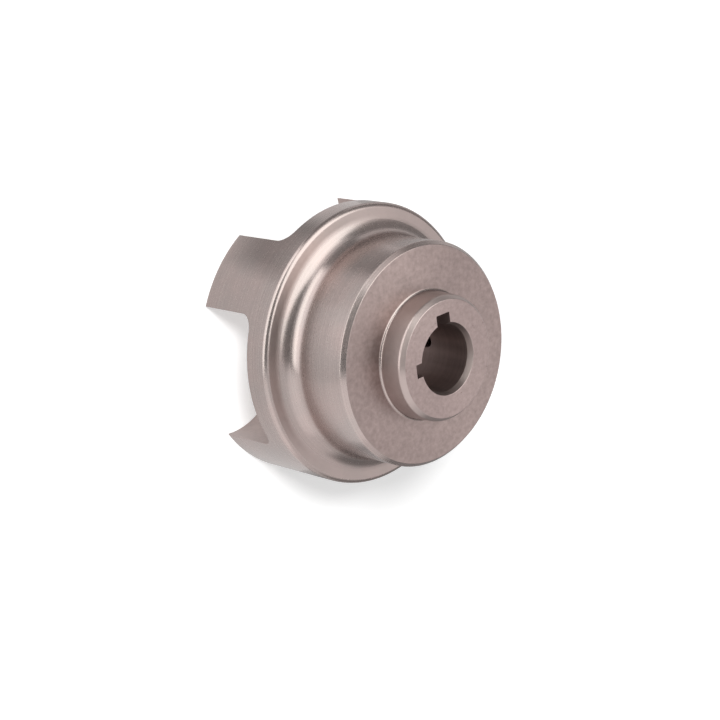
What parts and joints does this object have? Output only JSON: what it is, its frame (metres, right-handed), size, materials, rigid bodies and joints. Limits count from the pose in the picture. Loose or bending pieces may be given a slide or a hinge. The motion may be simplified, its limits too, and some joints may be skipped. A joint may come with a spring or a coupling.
{
  "type": "jaw coupling half",
  "caption": "Jaw coupling half: a stepped round hub with a keyed through bore and a tapped side hole, ending in claws with hollow flanks that drive an elastic spider.",
  "frame": {"origin": "on the bore axis, level with the tips of the claws", "axes": "+Z along the bore towards the nose of the hub, +Y through the middle of the wide keyway, +X along the tapped hole"},
  "size_m": [0.1269, 0.1268, 0.0901],
  "materials": {
    "steel": "satin turned stainless steel, warm grey"
  },
  "bodies": {
    "root": {"coupling_half": "steel"}
  },
  "joints": []
}
